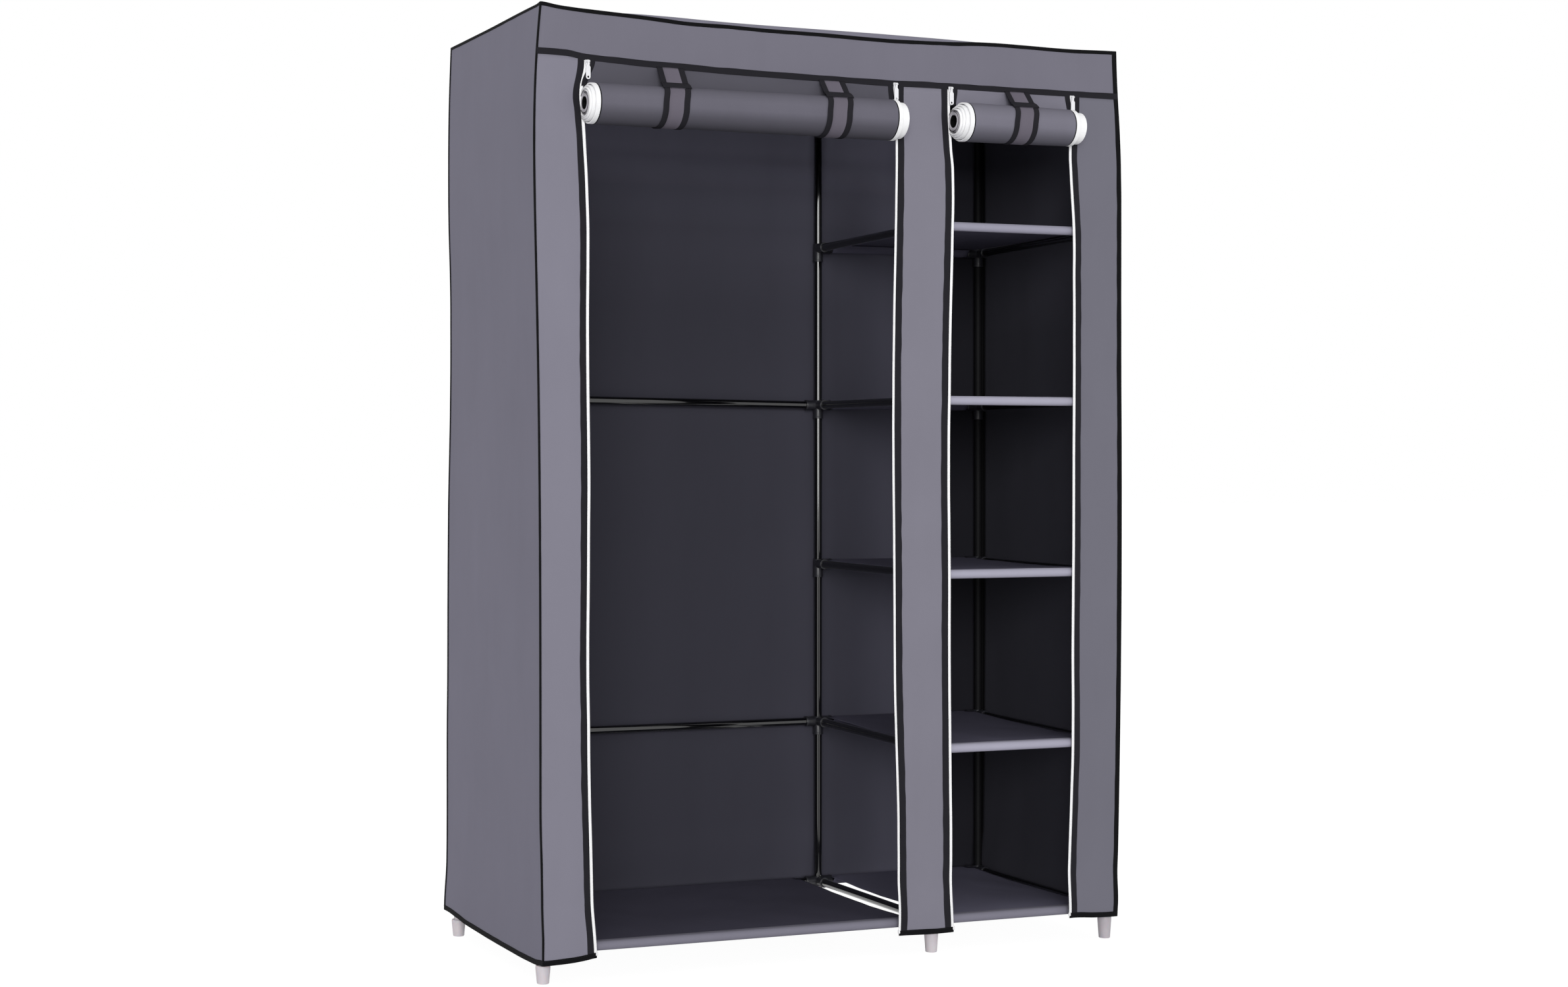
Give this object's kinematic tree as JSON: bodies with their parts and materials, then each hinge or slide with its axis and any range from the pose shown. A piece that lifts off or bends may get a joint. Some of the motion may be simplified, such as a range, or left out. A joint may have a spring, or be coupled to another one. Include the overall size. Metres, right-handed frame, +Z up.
{
  "type": "portable fabric wardrobe",
  "caption": "Tall cloth-covered wardrobe on a push-together tube frame, with a wide and a narrow zipped door that roll up, a hanging space and a column of cloth shelves.",
  "frame": {"origin": "on the floor, under the middle of the overall box", "axes": "+Z up and the longest extent, +X towards the narrow shelf bay (the right as one faces the doors), +Y towards the back and the shortest extent"},
  "size_m": [1.2234, 0.5836, 1.75],
  "materials": {
    "black_tube": "gloss black coating",
    "pale_foot": "pale translucent moulding",
    "grey_cloth": "non-woven cloth",
    "shelf_cloth": "non-woven cloth",
    "door_cloth": "non-woven cloth",
    "strap_cloth": "non-woven cloth with black binding",
    "white_tape": "woven tape",
    "white_metal": "white enamel"
  },
  "bodies": {
    "frame_and_cover": {"post_front_left": "black_tube", "post_front_middle": "black_tube", "post_front_right": "black_tube", "post_back_left": "black_tube", "post_back_middle": "black_tube", "post_back_right": "black_tube", "rail_frame_0": "black_tube", "rail_frame_1": "black_tube", "rail_frame_2": "black_tube", "rail_frame_3": "black_tube", "rail_frame_4": "black_tube", "rail_frame_5": "black_tube", "left_side_rail_lower": "black_tube", "left_side_rail_upper": "black_tube", "back_rail_lower": "black_tube", "back_rail_upper": "black_tube", "hanging_rail": "black_tube", "foot_front_left": "pale_foot", "foot_front_middle": "pale_foot", "foot_front_right": "pale_foot", "foot_back_left": "pale_foot", "foot_back_middle": "pale_foot", "foot_back_right": "pale_foot", "right_shelf_1": "shelf_cloth", "right_shelf_2": "shelf_cloth", "right_shelf_3": "shelf_cloth", "right_shelf_4": "shelf_cloth", "right_shelf_5": "shelf_cloth", "left_bottom_shelf": "shelf_cloth", "cover_top": "grey_cloth", "cover_header": "grey_cloth", "cover_back": "grey_cloth", "cover_left_side": "grey_cloth", "cover_right_side": "grey_cloth", "cover_left_flap": "grey_cloth", "cover_centre_flap": "grey_cloth", "cover_right_flap": "grey_cloth", "zip_tape_left_door_left": "white_tape", "zip_tape_left_door_right": "white_tape", "zip_tape_right_door_left": "white_tape", "zip_tape_right_door_right": "white_tape", "left_door_upper_cloth": "door_cloth", "right_door_upper_cloth": "door_cloth", "left_door_strap_left_band": "strap_cloth", "left_door_strap_right_band": "strap_cloth", "right_door_strap_band": "strap_cloth"},
    "left_door_rolled": {"left_door_roll": "door_cloth"},
    "right_door_rolled": {"right_door_roll": "door_cloth"},
    "slider_left_door_left": {"zip_slider_left_door_left": "white_metal"},
    "pull_left_door_left": {"zip_pull_left_door_left": "white_metal"},
    "slider_left_door_right": {"zip_slider_left_door_right": "white_metal"},
    "pull_left_door_right": {"zip_pull_left_door_right": "white_metal"},
    "slider_right_door_left": {"zip_slider_right_door_left": "white_metal"},
    "pull_right_door_left": {"zip_pull_right_door_left": "white_metal"},
    "slider_right_door_right": {"zip_slider_right_door_right": "white_metal"},
    "pull_right_door_right": {"zip_pull_right_door_right": "white_metal"},
    "left_door_strap_left_tab_body": {"left_door_strap_left_tab": "strap_cloth"},
    "left_door_strap_right_tab_body": {"left_door_strap_right_tab": "strap_cloth"},
    "right_door_strap_tab_body": {"right_door_strap_tab": "strap_cloth"}
  },
  "joints": [
    {"name": "left_door_unroll", "type": "slide", "parent": "frame_and_cover", "child": "left_door_rolled", "axis": [0, 0, -1], "range_m": [0, 1.5], "deforming": ["left_door_upper_cloth", "left_door_strap_left_band", "left_door_strap_right_band"]},
    {"name": "right_door_unroll", "type": "slide", "parent": "frame_and_cover", "child": "right_door_rolled", "axis": [0, 0, -1], "range_m": [0, 1.5], "deforming": ["right_door_upper_cloth", "right_door_strap_band"]},
    {"name": "zip_left_door_left", "type": "slide", "parent": "frame_and_cover", "child": "slider_left_door_left", "axis": [0.0105, 0, -0.9999], "range_m": [0, 1.5]},
    {"name": "pull_swing_left_door_left", "type": "hinge", "parent": "slider_left_door_left", "child": "pull_left_door_left", "pos_m": [-0.50996, -0.22499, 1.6521], "axis": [-1, 0, 0], "range_deg": [0, 160]},
    {"name": "zip_left_door_right", "type": "slide", "parent": "frame_and_cover", "child": "slider_left_door_right", "axis": [0, 0, -1], "range_m": [0, 1.5]},
    {"name": "pull_swing_left_door_right", "type": "hinge", "parent": "slider_left_door_right", "child": "pull_left_door_right", "pos_m": [0.11584, -0.22499, 1.64584], "axis": [-1, 0, 0], "range_deg": [0, 160]},
    {"name": "zip_right_door_left", "type": "slide", "parent": "frame_and_cover", "child": "slider_right_door_left", "axis": [0, 0, -1], "range_m": [0, 1.5]},
    {"name": "pull_swing_right_door_left", "type": "hinge", "parent": "slider_right_door_left", "child": "pull_right_door_left", "pos_m": [0.23484, -0.22499, 1.64465], "axis": [-1, 0, 0], "range_deg": [0, 160]},
    {"name": "zip_right_door_right", "type": "slide", "parent": "frame_and_cover", "child": "slider_right_door_right", "axis": [0, 0, -1], "range_m": [0, 1.5]},
    {"name": "pull_swing_right_door_right", "type": "hinge", "parent": "slider_right_door_right", "child": "pull_right_door_right", "pos_m": [0.50404, -0.22499, 1.64196], "axis": [-1, 0, 0], "range_deg": [0, 160]},
    {"name": "left_door_strap_left_lift", "type": "hinge", "parent": "frame_and_cover", "child": "left_door_strap_left_tab_body", "pos_m": [-0.36296, -0.22099, 1.65683], "axis": [-1, 0, 0], "range_deg": [0, 100]},
    {"name": "left_door_strap_right_lift", "type": "hinge", "parent": "frame_and_cover", "child": "left_door_strap_right_tab_body", "pos_m": [-0.03116, -0.22099, 1.65351], "axis": [-1, 0, 0], "range_deg": [0, 100]},
    {"name": "right_door_strap_lift", "type": "hinge", "parent": "frame_and_cover", "child": "right_door_strap_tab_body", "pos_m": [0.36944, -0.22099, 1.64951], "axis": [-1, 0, 0], "range_deg": [0, 100]}
  ]
}
